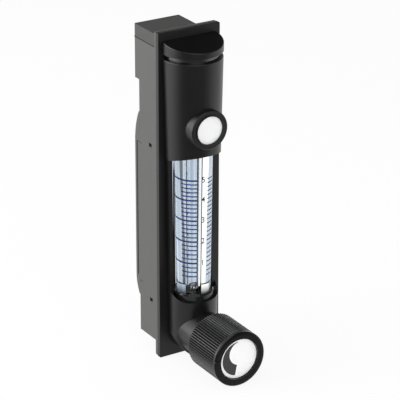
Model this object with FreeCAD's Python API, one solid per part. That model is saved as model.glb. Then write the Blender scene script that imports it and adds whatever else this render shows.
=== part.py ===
import FreeCAD, Part
import math
import os

# Compact panel rotameter with a needle valve, in millimetres.
# Everything is drawn from the tube's centre line (X), the plate's front face (Y) and the plate's
# bottom edge (Z), -Y towards the reader, and is moved at the end so that the mouth of the inlet
# port is the origin.

os.makedirs("parts", exist_ok=True)
Vector = FreeCAD.Vector
RIGHT = Vector(1, 0, 0)
BACK = Vector(0, 1, 0)
UP = Vector(0, 0, 1)

# Clearances
seat_gap = 0.05        # radial gap of pieces that are pushed into their seats
running_gap = 0.06     # radial gap of shafts that turn or slide
hook_gap = 0.15        # room round a snap hook
join_gap = 0.1         # gap between two covers that meet
touch_gap = 0.1        # gap between the resting ball and its stop
overcut = 1.0          # how far a cutting tool runs past the face it opens

# Front plate, and the body's flange behind it
plate_height = 130.0
plate_width = 26.2
plate_thickness = 1.8
plate_corner = 0.5
plate_edge = 0.2
flange_thickness = 1.5
flange_inset = 0.1

# Body behind the flange, set to the left of the tube and flush with the flange's left edge
body_width = 18.9
body_depth = 11.5
upper_body_step = 0.5       # how much shallower the body is above the rails
body_bottom = 6.3
head_rise = 2.4             # how far the head and the rails stand out behind the body
head_drop = 21.6           # each drop is measured down from the plate's top edge
seam_drop = 5.8
top_block_height = 5.0
top_block_seat = 0.3      # depth of the block's seat in the flange, which leaves the flange's rear clear
body_corner = 0.3
rail_rise = 1.3
rail_bottom = 29.0
rail_drop = 46.4
lower_notch = 2.0
upper_notch = 3.3
notch_depth = 2.0
body_wall = 2.0
pocket_margin = 2.0

# Rear cover, a bowed lid over the hollow middle of the body
cover_thickness = 1.5
cover_side_inset = 0.1
cover_upper_ramp = 12.0
cover_lower_ramp = 8.0
cover_tip = 0.5

# Threaded ports and flow passages
port_radius = 4.3
port_depth = 9.0
port_shift = 2.4
inlet_height = 17.0
outlet_drop = 12.5
passage_radius = 1.5
gallery_depth = 2.2
gallery_radius = 1.8
bush_radius = 2.5
bush_reach = 1.6

# Metering tube
tube_offset = 3.0
tube_bottom = 22.0
tube_shoulder_drop = 44.0
tube_neck_length = 6.0
tube_low_radius = 6.38
tube_high_radius = 7.18
tube_neck_radius = 5.5
bore_low_radius = 1.85
bore_high_radius = 2.3
tube_chamfer = 0.4
channel_radius = 8.05

# Float and its stops
ball_radius = 1.5875
ball_seat_height = 26.7
upper_stop_reach = 1.0
stop_flange_radius = 3.0
stop_flange_length = 2.0
stop_pin_radius = 1.3
stop_hole_radius = 0.6
stop_slot_width = 0.7
stop_slot_depth = 0.6

# Seat cup, end block and reflector that hold the tube
cup_radius = 7.6
cup_floor = 2.0
cup_height = 8.0
cup_chamfer = 0.5
end_boss_radius = 8.0
end_boss_drop = 33.0
reflector_thickness = 0.6
reflector_half_angle = 40.0
face_ring_radius = 4.2
face_ring_section = 0.7
face_ring_squeeze = 0.2
neck_ring_section = 0.6
neck_ring_height = 3.0

# Sleeve, cap and badge
housing_offset = 1.8
sleeve_drop = 9.7
sleeve_length = 39.1
sleeve_top_radius = 11.5
sleeve_bottom_radius = 10.7
sleeve_wall = 1.1
sleeve_lip = 0.45
edge_rise = 2.9
badge_drop = 35.0
badge_radius = 7.6
badge_front = 14.4
badge_rim = 1.65
badge_recess = 0.9
badge_edge = 0.5
badge_disc_thickness = 0.4
cap_gap = 1.9
cap_radius = 11.6
cap_back_height = 4.7
cap_front_height = 2.3
cap_edge = 0.4
cap_spigot_radius = 4.0
cap_spigot_length = 2.0

# Lower shell with the window, the round end and the valve boss
valve_height = 11.5
shell_top_radius = 10.35
shell_end_radius = 9.55
shell_wall = 1.35
window_bottom = 25.1
window_side_reach = 2.6
window_corner = 3.2
boss_radius = 8.8
boss_front = 16.0
boss_edge = 0.6

# Snap hooks of the sleeve and of the shell
hook_width = 1.2
hook_thickness = 1.0
hook_barb = 1.1
hook_barb_length = 1.7
left_hook_length = 7.2
sleeve_hook_drop = 45.0
shell_hook_height = 22.0
hook_edge_inset = 0.15

# Needle valve
chamber_radius = 2.5
seat_bore_radius = 0.9
cartridge_start = 5.2
cartridge_radius = 4.2
cartridge_flange_radius = 5.4
cartridge_flange_length = 0.5
needle_radius = 1.5
needle_flat = 1.2
needle_tip_radius = 0.35
needle_tip_reach = 0.4
needle_shoulder = 2.6
needle_guide = 1.8
needle_length = 5.0
needle_travel = 2.0
needle_tail_radius = 1.0
needle_tail_length = 5.5
needle_ring_section = 0.35
needle_ring_setback = 0.9
spindle_gap = 0.3
collar_radius = 3.0
collar_length = 1.6
spindle_radius = 2.0
spindle_end = 31.0
spindle_flat = 1.5
spindle_flat_start = 21.0
gland_radius = 3.4
gland_head_radius = 4.6
gland_head_length = 0.5
gland_ring_section = 0.5

# Knob
knob_radius = 10.9
knob_back = 17.1
knob_front = 35.7
knob_flutes = 72
flute_depth = 0.36
flute_share = 0.7
flute_start = 0.9
knob_bevel = 1.3
knob_bevel_depth = 0.45
knob_wall = 1.5
knob_recess_radius = 8.1
knob_recess_depth = 1.6
knob_web = 2.2
knob_hub_radius = 4.4
knob_hub_setback = 1.4
knob_disc_thickness = 0.5
knob_disc_inset = 0.1
knob_screw_radius = 1.1
knob_screw_head_radius = 2.2
knob_screw_head_height = 1.1
knob_screw_length = 6.0
knob_index_width = 0.5
knob_index_height = 0.25
knob_index_angle = 8.0

# Screws that clamp the body to the end block and to the lower shell
screw_radius = 1.25
screw_head_radius = 2.05
screw_head_height = 1.6
screw_sink = 2.2
screw_grip = 4.2
screw_left = -7.0
screw_right = 3.6
screw_edge = 3.1
screw_socket_radius = 1.0
screw_socket_depth = 0.9

# Places worked out from the sizes above
head_bottom = plate_height - head_drop
seam_height = plate_height - seam_drop
rail_top = plate_height - rail_drop
outlet_height = plate_height - outlet_drop
tube_shoulder = plate_height - tube_shoulder_drop
tube_top = tube_shoulder + tube_neck_length
upper_stop_height = tube_shoulder - upper_stop_reach
end_boss_top = plate_height - end_boss_drop
sleeve_top = plate_height - sleeve_drop
sleeve_bottom = sleeve_top - sleeve_length
badge_height = plate_height - badge_drop
sleeve_hook_height = plate_height - sleeve_hook_drop
flange_back = plate_thickness + flange_thickness
body_left = -plate_width / 2 + flange_inset
body_right = body_left + body_width
body_back = flange_back + body_depth
upper_body_back = body_back - upper_body_step
notch_floor = upper_body_back - notch_depth
head_back = body_back + head_rise
rail_back = body_back + rail_rise
top_of_block = seam_height + top_block_height
port_x = -port_shift
bush_back = plate_thickness + gallery_depth / 2
cup_bottom = tube_bottom - cup_floor - face_ring_squeeze
cup_top = cup_bottom + cup_height
cap_bottom = sleeve_top + cap_gap
sleeve_taper = (sleeve_top_radius - sleeve_bottom_radius) / (sleeve_top - sleeve_bottom)
shell_taper = (shell_top_radius - shell_end_radius) / (sleeve_bottom - valve_height)
tube_taper = (tube_high_radius - tube_low_radius) / (tube_shoulder - tube_bottom)
bore_taper = (bore_high_radius - bore_low_radius) / (tube_top - tube_bottom)
ball_height = ball_seat_height + touch_gap + ball_radius
lower_screw_height = body_bottom + screw_edge
upper_screw_height = head_bottom + screw_edge
needle_guide_end = cartridge_start + needle_guide
needle_end = cartridge_start + needle_length
needle_ring_place = cartridge_start + needle_ring_setback
spindle_start = needle_end + needle_travel + spindle_gap
spindle_hole_end = needle_end + needle_tail_length + needle_travel + spindle_gap
collar_front = spindle_start + collar_length
recess_floor = knob_front - knob_recess_depth


def box(x0, x1, y0, y1, z0, z1):
    """A block between two corners."""
    return Part.makeBox(x1 - x0, y1 - y0, z1 - z0, Vector(x0, y0, z0))


def post(x, y, radius, z0, z1):
    """An upright round bar."""
    return Part.makeCylinder(radius, z1 - z0, Vector(x, y, z0), UP)


def rod(x, z, radius, front, back):
    """A round bar along Y, from its front end to its back end."""
    return Part.makeCylinder(radius, back - front, Vector(x, front, z), BACK)


def taper(x, y, low_radius, slope, z0, z1):
    """An upright round bar whose radius grows by slope for each millimetre of height."""
    high_radius = low_radius + slope * (z1 - z0)
    return Part.makeCone(low_radius, high_radius, z1 - z0, Vector(x, y, z0), UP)


def turned(profile, x, z):
    """A solid turned about an axis along Y, from (radius, y) corners."""
    corners = [Vector(x + radius, y, z) for radius, y in profile]
    corners.append(corners[0])
    face = Part.Face(Part.makePolygon(corners))
    return face.revolve(Vector(x, 0, z), BACK, 360)


def turned_upright(profile, x, y):
    """A solid turned about an upright axis, from (radius, z) corners."""
    corners = [Vector(x + radius, y, z) for radius, z in profile]
    corners.append(corners[0])
    face = Part.Face(Part.makePolygon(corners))
    return face.revolve(Vector(x, y, 0), UP, 360)


def slot_rod(x0, z0, x1, z1, radius, front, back):
    """A milled slot along Y between two centres."""
    ends = rod(x0, z0, radius, front, back).fuse(rod(x1, z1, radius, front, back))
    length = math.hypot(x1 - x0, z1 - z0)
    if length < radius / 100:
        return ends.removeSplitter()
    middle = box(0, length, front, back, -radius, radius)
    middle.rotate(Vector(0, 0, 0), BACK, -math.degrees(math.atan2(z1 - z0, x1 - x0)))
    middle.translate(Vector(x0, 0, z0))
    return ends.fuse(middle).removeSplitter()


def ring_upright(x, y, z, radius, section):
    """A square-cut seal ring that lies level."""
    outer = post(x, y, radius + section, z - section, z + section)
    return outer.cut(post(x, y, radius - section, z - section, z + section))


def ring_facing(x, y, z, radius, section):
    """A square-cut seal ring about an axis along Y."""
    outer = rod(x, z, radius + section, y - section, y + section)
    return outer.cut(rod(x, z, radius - section, y - section, y + section))


def single(shape):
    """The one solid that a boolean step leaves, out of its compound and with no split faces."""
    shape = shape.removeSplitter()
    if len(shape.Solids) == 1:
        return shape.Solids[0]
    return shape


def edges_where(shape, test):
    """The edges whose middle point passes a test."""
    chosen = []
    for edge in shape.Edges:
        middle = edge.valueAt((edge.FirstParameter + edge.LastParameter) / 2)
        if test(edge, middle):
            chosen.append(edge)
    return chosen


def is_along(edge, direction):
    """Whether a straight edge runs along a direction."""
    if edge.Curve.TypeId != "Part::GeomLine":
        return False
    start = edge.Vertexes[0].Point
    end = edge.Vertexes[-1].Point
    return (end - start).cross(direction).Length < (end - start).Length / 1000


def level_with(value, place):
    """Whether a coordinate is at a place."""
    return abs(value - place) < 0.001


def in_front_of_plate():
    """All the space before the plate's front face."""
    reach = 2 * plate_height
    return box(-reach, reach, -reach, 0, -reach, 2 * reach)


def sleeve_radius(z):
    """The sleeve's outer radius at a height."""
    return sleeve_bottom_radius + sleeve_taper * (z - sleeve_bottom)


def shell_radius(z):
    """The lower shell's outer radius at a height."""
    return shell_end_radius + shell_taper * (z - valve_height)


def tube_radius(z):
    """The tube's outer radius at a height."""
    return tube_low_radius + tube_taper * (z - tube_bottom)


def bore_radius(z):
    """The tube's bore radius at a height."""
    return bore_low_radius + bore_taper * (z - tube_bottom)


def slanted_cut(low, gap):
    """The space under, or over, the slant of the sleeve's lower edge, which rises to the front."""
    reach = 2 * plate_width
    slope = edge_rise / sleeve_bottom_radius
    middle = sleeve_bottom - slope * housing_offset - gap
    far = middle - reach if low else middle + reach
    face = Part.Face(Part.makePolygon([
        Vector(-reach, -reach, middle + slope * reach),
        Vector(-reach, reach, middle - slope * reach),
        Vector(-reach, reach, far),
        Vector(-reach, -reach, far),
        Vector(-reach, -reach, middle + slope * reach),
    ]))
    return face.extrude(Vector(2 * reach, 0, 0))


def hook_sizes(side):
    """How far a snap hook runs behind the plate's front face, and the length of its barb."""
    if side < 0:
        return left_hook_length, hook_barb_length
    return flange_back - hook_gap, flange_thickness - 2 * hook_gap


def snap_hook(side, outer_x, height):
    """A flexing tab with a barb, held in the body's side on the left and in the flange on the right."""
    reach, barb_length = hook_sizes(side)
    inner = side * (outer_x - hook_thickness)
    outer = side * outer_x
    tip = side * (outer_x + hook_barb)
    half = hook_width / 2
    tab = box(min(inner, outer), max(inner, outer), -hook_thickness, reach, height - half, height + half)
    barb = Part.Face(Part.makePolygon([
        Vector(outer, reach - barb_length, height - half),
        Vector(tip, reach - barb_length, height - half),
        Vector(outer, reach, height - half),
        Vector(outer, reach - barb_length, height - half),
    ]))
    return single(tab.fuse(barb.extrude(Vector(0, 0, hook_width))))


def hook_slot(side, outer_x, height, through):
    """The room that a snap hook needs in the plate, the flange and the body."""
    low = side * (outer_x - hook_thickness - hook_gap)
    high = side * (outer_x + hook_gap)
    half = hook_width / 2 + hook_gap
    slot = box(min(low, high), max(low, high), -hook_gap, through, height - half, height + half)
    reach, barb_length = hook_sizes(side)
    barb_start = reach - barb_length - hook_gap
    if through <= flange_back:
        return slot
    if side < 0:
        room = box(-plate_width, high + hook_gap, barb_start, reach + hook_gap, height - half, height + half)
    else:
        room = box(low, high + hook_barb, barb_start, flange_back + overcut, height - half, height + half)
    return slot.fuse(room).removeSplitter()


def hook_places():
    """Side, outer distance from the centre line and height of each snap hook."""
    places = []
    for radius, height in ((sleeve_radius(sleeve_hook_height), sleeve_hook_height),
                           (shell_radius(shell_hook_height), shell_hook_height)):
        outer_x = math.sqrt(radius ** 2 - housing_offset ** 2) - hook_edge_inset
        places.append((-1, outer_x, height))
        places.append((1, outer_x, height))
    return places


def tube_channel(top):
    """The round channel that takes the back of the tube, its cup and the end block."""
    return post(0, -tube_offset, channel_radius, cup_bottom, top)


def screw_places():
    """Where the four clamping screws stand: X and Z."""
    return [(x, z) for z in (lower_screw_height, upper_screw_height) for x in (screw_left, screw_right)]


def screw_back(z):
    """The rear face that a screw's head is sunk into."""
    if z > head_bottom:
        return head_back
    return body_back


def make_front_plate():
    half = plate_width / 2
    plate = box(-half, half, 0, plate_thickness, 0, plate_height)
    plate = plate.makeFillet(plate_corner, edges_where(plate, lambda edge, middle: is_along(edge, BACK)))
    rim = edges_where(plate, lambda edge, middle: level_with(middle.y, 0))
    plate = plate.makeFillet(plate_edge, rim)
    plate = plate.cut(tube_channel(end_boss_top + join_gap))
    plate = plate.cut(rod(0, valve_height, bush_radius + seat_gap, -overcut, flange_back))
    plate = plate.cut(rod(0, outlet_height, bush_radius + seat_gap, -overcut, flange_back))
    for side, outer_x, height in hook_places():
        plate = plate.cut(hook_slot(side, outer_x, height, flange_back))
    for x, z in screw_places():
        plate = plate.cut(rod(x, z, screw_radius + hook_gap, -overcut, flange_back))
    return plate


def make_main_body():
    half = plate_width / 2 - flange_inset
    flange = box(-half, half, plate_thickness, flange_back, flange_inset, plate_height - flange_inset)
    corners = edges_where(flange, lambda edge, middle: is_along(edge, BACK))
    flange = flange.makeFillet(plate_corner, corners)
    lower = box(body_left, body_right, flange_back, body_back, body_bottom, rail_top)
    upper = box(body_left, body_right, flange_back, upper_body_back, rail_top, head_bottom)
    head = box(body_left, body_right, flange_back, head_back, head_bottom, seam_height)
    rails = box(body_left, body_right, flange_back, rail_back, rail_bottom, rail_top)
    block = lower.fuse(upper).fuse(head).fuse(rails).removeSplitter()
    uprights = edges_where(block, lambda edge, middle: is_along(edge, UP)
                           and middle.y > flange_back + body_corner)
    block = block.makeFillet(body_corner, uprights)
    body = block.fuse(flange).removeSplitter()
    for z0, z1 in ((rail_bottom - lower_notch, rail_bottom), (rail_top, rail_top + upper_notch)):
        body = body.cut(box(body_left - overcut, body_right + overcut, notch_floor,
                            rail_back + overcut, z0, z1))
    pocket_front = channel_radius - tube_offset + body_wall / 2
    body = body.cut(box(body_left + body_wall, body_right - body_wall, pocket_front, rail_back + overcut,
                        rail_bottom + pocket_margin, rail_top - pocket_margin))
    body = body.cut(box(body_left - overcut, body_right, flange_back - top_block_seat, flange_back + overcut,
                        seam_height, top_of_block))
    body = body.cut(tube_channel(end_boss_top + join_gap))
    for z, back in ((inlet_height, body_back), (outlet_height, head_back)):
        gallery_end = plate_thickness + gallery_depth
        body = body.cut(rod(port_x, z, port_radius, back - port_depth, back + overcut))
        body = body.cut(rod(port_x, z, passage_radius, gallery_end - overcut, back - port_depth + overcut))
    body = body.cut(slot_rod(port_x, inlet_height, 0, valve_height, gallery_radius,
                             plate_thickness - overcut, plate_thickness + gallery_depth))
    body = body.cut(slot_rod(port_x, outlet_height, 0, outlet_height, gallery_radius,
                             plate_thickness - overcut, plate_thickness + gallery_depth))
    for z in (valve_height, outlet_height):
        body = body.cut(rod(0, z, bush_radius + seat_gap, plate_thickness - overcut, bush_back))
    body = body.cut(post(port_x, head_spigot_y(), cap_spigot_radius, seam_height - cap_spigot_length,
                         seam_height + overcut))
    for side, outer_x, height in hook_places():
        body = body.cut(hook_slot(side, outer_x, height, left_hook_length + hook_gap))
    for x, z in screw_places():
        back = screw_back(z)
        body = body.cut(rod(x, z, screw_radius + hook_gap, 0, back + overcut))
        body = body.cut(rod(x, z, screw_head_radius + hook_gap, back - screw_sink, back + overcut))
    return body


def head_spigot_y():
    """The depth of the top block's locating spigot, in the middle of the body's head."""
    return (flange_back + head_back) / 2


def make_top_block():
    seat = flange_back - top_block_seat
    block = box(body_left, body_right, seat, head_back, seam_height, top_of_block)
    rear = edges_where(block, lambda edge, middle: is_along(edge, UP)
                       and middle.y > flange_back + body_corner)
    block = block.makeFillet(body_corner, rear)
    spigot = post(port_x, head_spigot_y(), cap_spigot_radius - seat_gap,
                  seam_height - cap_spigot_length + seat_gap, seam_height + overcut)
    return block.fuse(spigot).removeSplitter()


def make_rear_cover():
    outer = rail_back + cover_thickness
    floor = notch_floor + join_gap
    low_tip = rail_bottom - cover_lower_ramp
    high_tip = rail_top + cover_upper_ramp
    low_lug = rail_bottom - lower_notch + join_gap
    high_lug = rail_top + upper_notch - join_gap

    def corner(y, z):
        return Vector(body_left + cover_side_inset, y, z)

    def bow(y0, z0, y1, z1):
        """A bowed stretch that leaves the flat back square to it and falls to the tip."""
        radius = ((y1 - y0) ** 2 + (z1 - z0) ** 2) / (2 * abs(y1 - y0))
        side = 1 if z1 > z0 else -1
        half_turn = math.asin(abs(z1 - z0) / radius) / 2
        middle = corner(y0 - radius * (1 - math.cos(half_turn)), z0 + side * radius * math.sin(half_turn))
        return Part.Arc(corner(y0, z0), middle, corner(y1, z1)).toShape()

    def straight(*points):
        return [Part.LineSegment(corner(*a), corner(*b)).toShape() for a, b in zip(points, points[1:])]

    high_back = upper_body_back + cover_tip
    low_back = body_back + cover_tip
    edges = [bow(outer, rail_top, high_back, high_tip)]
    edges += straight(
        (high_back, high_tip), (upper_body_back, high_tip), (upper_body_back, high_lug), (floor, high_lug),
        (floor, rail_top + join_gap), (rail_back, rail_top + join_gap),
        (rail_back, rail_bottom - join_gap), (floor, rail_bottom - join_gap),
        (floor, low_lug), (body_back, low_lug), (body_back, low_tip), (low_back, low_tip))
    edges.append(bow(outer, rail_bottom, low_back, low_tip))
    edges += straight((outer, rail_bottom), (outer, rail_top))
    profile = Part.Face(Part.Wire(Part.__sortEdges__(edges)))
    return profile.extrude(Vector(body_width - 2 * cover_side_inset, 0, 0))


def make_sleeve():
    low = sleeve_bottom - edge_rise
    outside = taper(0, -housing_offset, sleeve_radius(low), sleeve_taper, low, sleeve_top)
    top_edge = edges_where(outside, lambda edge, middle: level_with(middle.z, sleeve_top))
    outside = outside.makeFillet(sleeve_lip, top_edge)
    boss = rod(0, badge_height, badge_radius, -badge_front, -housing_offset)
    rim = edges_where(boss, lambda edge, middle: level_with(middle.y, -badge_front))
    boss = boss.makeFillet(badge_edge, rim)
    sleeve = outside.fuse(boss).removeSplitter()
    inside = taper(0, -housing_offset, sleeve_radius(low) - sleeve_wall, sleeve_taper, low, sleeve_top)
    sleeve = sleeve.cut(inside)
    recess_radius = badge_radius - badge_rim
    recess_back = -badge_front + badge_recess
    sleeve = sleeve.cut(rod(0, badge_height, recess_radius, -badge_front - overcut, recess_back))
    sleeve = single(sleeve.common(in_front_of_plate()).cut(slanted_cut(True, 0)))
    for side, outer_x, height in hook_places()[:2]:
        sleeve = single(sleeve.fuse(snap_hook(side, outer_x, height)))
    return sleeve


def make_badge_disc():
    radius = badge_radius - badge_rim - seat_gap
    back = -badge_front + badge_recess
    return rod(0, badge_height, radius, back - badge_disc_thickness, back)


def make_top_cap():
    high = cap_bottom + cap_back_height
    cap = post(0, -housing_offset, cap_radius, cap_bottom, high)
    front = -housing_offset - cap_radius
    reach = 2 * cap_radius
    slope = (cap_back_height - cap_front_height) / -front
    wedge = Part.Face(Part.makePolygon([
        Vector(-reach, reach, high + slope * reach),
        Vector(-reach, -reach, high - slope * reach),
        Vector(-reach, -reach, high + reach),
        Vector(-reach, reach, high + reach),
        Vector(-reach, reach, high + slope * reach),
    ])).extrude(Vector(2 * reach, 0, 0))
    cap = single(cap.cut(wedge).common(in_front_of_plate()))
    top_edge = edges_where(cap, lambda edge, middle: middle.z > cap_bottom + cap_front_height / 2
                           and middle.y < -cap_edge)
    cap = cap.makeFillet(cap_edge, [edge for edge in top_edge if not is_along(edge, UP)])
    spigot = post(0, -housing_offset - cap_spigot_radius, cap_spigot_radius - seat_gap,
                  cap_bottom - cap_spigot_length + seat_gap, cap_bottom + overcut)
    return single(cap.fuse(spigot))


def make_end_block():
    gap = sleeve_wall + join_gap
    block = taper(0, -housing_offset, sleeve_radius(end_boss_top) - gap, sleeve_taper, end_boss_top,
                  sleeve_top)
    neck = post(0, -housing_offset, sleeve_radius(sleeve_top) - gap, sleeve_top, cap_bottom)
    block = single(block.fuse(neck).common(in_front_of_plate()))
    boss = post(0, -tube_offset, end_boss_radius, tube_shoulder + join_gap, end_boss_top)
    block = single(block.fuse(boss))
    socket_top = tube_top + join_gap
    block = block.cut(post(0, -tube_offset, tube_neck_radius + seat_gap, tube_shoulder - overcut, socket_top))
    block = block.cut(post(0, -tube_offset, passage_radius, socket_top - overcut, outlet_height))
    block = block.cut(rod(0, outlet_height, passage_radius, -tube_offset, overcut))
    block = block.cut(rod(0, outlet_height, bush_radius + seat_gap, -bush_reach - seat_gap, overcut))
    block = block.cut(post(0, -housing_offset - cap_spigot_radius, cap_spigot_radius,
                           cap_bottom - cap_spigot_length, cap_bottom + overcut))
    for x, z in screw_places()[2:]:
        block = block.cut(rod(x, z, screw_radius, -screw_grip - hook_gap, overcut))
    return block


def make_lower_shell():
    low = valve_height - shell_radius(valve_height)
    high = sleeve_bottom + edge_rise
    outside = taper(0, -housing_offset, shell_radius(low), shell_taper, low, high)
    round_end = rod(0, valve_height, shell_radius(valve_height), -plate_width, plate_width)
    upper = box(-plate_width, plate_width, -plate_width, plate_width, valve_height, high + overcut)
    outside = single(outside.common(round_end.fuse(upper)))
    boss = rod(0, valve_height, boss_radius, -boss_front, 0)
    rim = edges_where(boss, lambda edge, middle: level_with(middle.y, -boss_front))
    boss = boss.makeFillet(boss_edge, rim)
    shell = single(outside.fuse(boss).common(in_front_of_plate()))

    for side, outer_x, height in hook_places()[2:]:
        shell = single(shell.fuse(snap_hook(side, outer_x, height)))

    half = shell_radius(window_bottom)
    window = box(-half, half, -plate_width, -window_side_reach, window_bottom, high + overcut)
    lower_edges = edges_where(window, lambda edge, middle: is_along(edge, BACK)
                              and level_with(middle.z, window_bottom))
    window = window.makeFillet(window_corner, lower_edges)
    above = box(-plate_width, plate_width, -plate_width, -window_side_reach,
                window_bottom + window_corner, high + overcut)
    shell = shell.cut(window).cut(above)

    hollow = taper(0, -housing_offset, shell_radius(window_bottom) - shell_wall, shell_taper,
                   window_bottom, high + overcut)
    shell = shell.cut(hollow)
    shell = shell.cut(post(0, -tube_offset, cup_radius + seat_gap, cup_bottom, high + overcut))
    shell = shell.cut(post(0, -tube_offset, passage_radius, valve_height, cup_bottom + overcut))
    shell = shell.cut(rod(0, valve_height, bush_radius + seat_gap, -bush_reach - seat_gap, overcut))
    shell = shell.cut(rod(0, valve_height, chamber_radius, -cartridge_start - overcut, overcut))
    bore = cartridge_radius + seat_gap
    shell = shell.cut(rod(0, valve_height, bore, -boss_front - overcut, -cartridge_start))
    for x, z in screw_places()[:2]:
        shell = shell.cut(rod(x, z, screw_radius, -screw_grip - hook_gap, overcut))
    return shell.cut(slanted_cut(False, join_gap)).Solids[0]


def make_metering_tube():
    counterbore = stop_flange_radius + seat_gap
    depth = stop_flange_length + seat_gap
    profile = [
        (counterbore, tube_bottom),
        (tube_low_radius - tube_chamfer, tube_bottom),
        (tube_radius(tube_bottom + tube_chamfer), tube_bottom + tube_chamfer),
        (tube_high_radius, tube_shoulder),
        (tube_neck_radius, tube_shoulder),
        (tube_neck_radius, tube_shoulder + neck_ring_height - neck_ring_section),
        (tube_neck_radius - 2 * neck_ring_section, tube_shoulder + neck_ring_height - neck_ring_section),
        (tube_neck_radius - 2 * neck_ring_section, tube_shoulder + neck_ring_height + neck_ring_section),
        (tube_neck_radius, tube_shoulder + neck_ring_height + neck_ring_section),
        (tube_neck_radius, tube_top - tube_chamfer),
        (tube_neck_radius - tube_chamfer, tube_top),
        (counterbore, tube_top),
        (counterbore, tube_top - depth),
        (bore_radius(tube_top - depth), tube_top - depth),
        (bore_radius(tube_bottom + depth), tube_bottom + depth),
        (counterbore, tube_bottom + depth),
    ]
    return turned_upright(profile, 0, -tube_offset)


def make_float_ball():
    return Part.makeSphere(ball_radius, Vector(0, -tube_offset, ball_height))


def make_float_stop(flange_end, tip, bore_at_tip):
    """A drilled stop with a slotted tip, so that the ball cannot close the flow."""
    side = 1 if tip > flange_end else -1
    flange_top = flange_end + side * stop_flange_length
    pin_radius = min(stop_pin_radius, bore_at_tip - seat_gap)
    flange = post(0, -tube_offset, stop_flange_radius, min(flange_end, flange_top),
                  max(flange_end, flange_top))
    pin = post(0, -tube_offset, pin_radius, min(flange_top, tip), max(flange_top, tip))
    stop = flange.fuse(pin).removeSplitter()
    stop = stop.cut(post(0, -tube_offset, stop_hole_radius, min(flange_end, tip) - overcut,
                         max(flange_end, tip) + overcut))
    slot_end = tip - side * stop_slot_depth
    low, high = min(slot_end, tip + side), max(slot_end, tip + side)
    half = stop_slot_width / 2
    reach = stop_flange_radius
    centre = -tube_offset
    stop = stop.cut(box(-reach, reach, centre - half, centre + half, low, high))
    return stop.cut(box(-half, half, centre - reach, centre + reach, low, high))


def make_tube_cup():
    groove = 2 * face_ring_section - face_ring_squeeze
    floor_top = cup_bottom + cup_floor
    cup = post(0, -tube_offset, cup_radius, cup_bottom, cup_top)
    upper_rim = edges_where(cup, lambda edge, middle: level_with(middle.z, cup_top))
    cup = cup.makeChamfer(cup_chamfer, upper_rim)
    room = taper(0, -tube_offset, tube_radius(floor_top) + seat_gap, tube_taper, floor_top, cup_top + overcut)
    cup = cup.cut(room)
    cup = cup.cut(post(0, -tube_offset, passage_radius, cup_bottom - overcut, cup_top))
    groove_floor = floor_top - groove
    outer = post(0, -tube_offset, face_ring_radius + face_ring_section, groove_floor, floor_top + overcut)
    inner = post(0, -tube_offset, face_ring_radius - face_ring_section, groove_floor, floor_top + overcut)
    return cup.cut(outer.cut(inner))


def make_tube_face_ring():
    height = tube_bottom - face_ring_section
    return ring_upright(0, -tube_offset, height, face_ring_radius, face_ring_section)


def make_tube_neck_ring():
    radius = tube_neck_radius - neck_ring_section
    return ring_upright(0, -tube_offset, tube_shoulder + neck_ring_height, radius, neck_ring_section)


def make_reflector():
    inner_radius = channel_radius - reflector_thickness
    low = cup_top + join_gap
    high = tube_shoulder
    ring = post(0, -tube_offset, channel_radius, low, high).cut(
        post(0, -tube_offset, inner_radius, low, high))
    half = math.radians(reflector_half_angle)
    reach = 2 * channel_radius / math.cos(half)
    sector = Part.Face(Part.makePolygon([
        Vector(0, -tube_offset, low),
        Vector(reach * math.sin(half), -tube_offset + reach * math.cos(half), low),
        Vector(-reach * math.sin(half), -tube_offset + reach * math.cos(half), low),
        Vector(0, -tube_offset, low),
    ])).extrude(Vector(0, 0, high - low))
    return ring.common(sector)


def make_bush(height, bore_radius_front):
    """A turned bush that carries the flow through the plate."""
    profile = [
        (passage_radius, bush_back),
        (bush_radius, bush_back),
        (bush_radius, -bush_reach),
        (bore_radius_front, -bush_reach),
        (bore_radius_front, 0),
        (passage_radius, plate_thickness / 2),
    ]
    return turned(profile, 0, height)


def needle_bar(radius, front, back, gap):
    """A round bar with two flats, which can slide but not turn."""
    half = needle_flat + gap
    bar = rod(0, valve_height, radius + gap, front, back)
    return bar.common(box(-half, half, front, back, valve_height - 2 * radius, valve_height + 2 * radius))


def make_cartridge():
    start = -cartridge_start - seat_gap
    end = -boss_front - cartridge_flange_length
    body = rod(0, valve_height, cartridge_radius, -boss_front, start)
    flange = rod(0, valve_height, cartridge_flange_radius, end, -boss_front)
    body = body.fuse(flange).removeSplitter()
    guide_end = -needle_guide_end - needle_travel - touch_gap
    body = body.cut(rod(0, valve_height, needle_radius + running_gap, guide_end, start + overcut))
    body = body.cut(needle_bar(needle_radius, end, guide_end + overcut, running_gap))
    collar_room = collar_radius + running_gap
    body = body.cut(rod(0, valve_height, collar_room, end - overcut, -spindle_start + running_gap))
    thread = gland_radius + seat_gap
    return body.cut(rod(0, valve_height, thread, end - overcut, -collar_front - running_gap))


def make_needle():
    tail_end = -needle_end - needle_tail_length
    ring_front = -needle_ring_place - needle_ring_section
    ring_back = -needle_ring_place + needle_ring_section
    groove_radius = needle_radius - 2 * needle_ring_section
    stem = turned([
        (0, -needle_tip_reach),
        (needle_tip_radius, -needle_tip_reach),
        (needle_flat, -needle_shoulder),
        (needle_radius, -needle_shoulder),
        (needle_radius, ring_back),
        (groove_radius, ring_back),
        (groove_radius, ring_front),
        (needle_radius, ring_front),
        (needle_radius, -needle_guide_end),
        (needle_tail_radius, -needle_guide_end),
        (needle_tail_radius, tail_end),
        (0, tail_end),
    ], 0, valve_height)
    bar = needle_bar(needle_radius, -needle_end, -needle_guide_end, 0)
    return stem.fuse(bar).removeSplitter()


def make_needle_ring():
    radius = needle_radius - needle_ring_section
    return ring_facing(0, -needle_ring_place, valve_height, radius, needle_ring_section)


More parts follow.
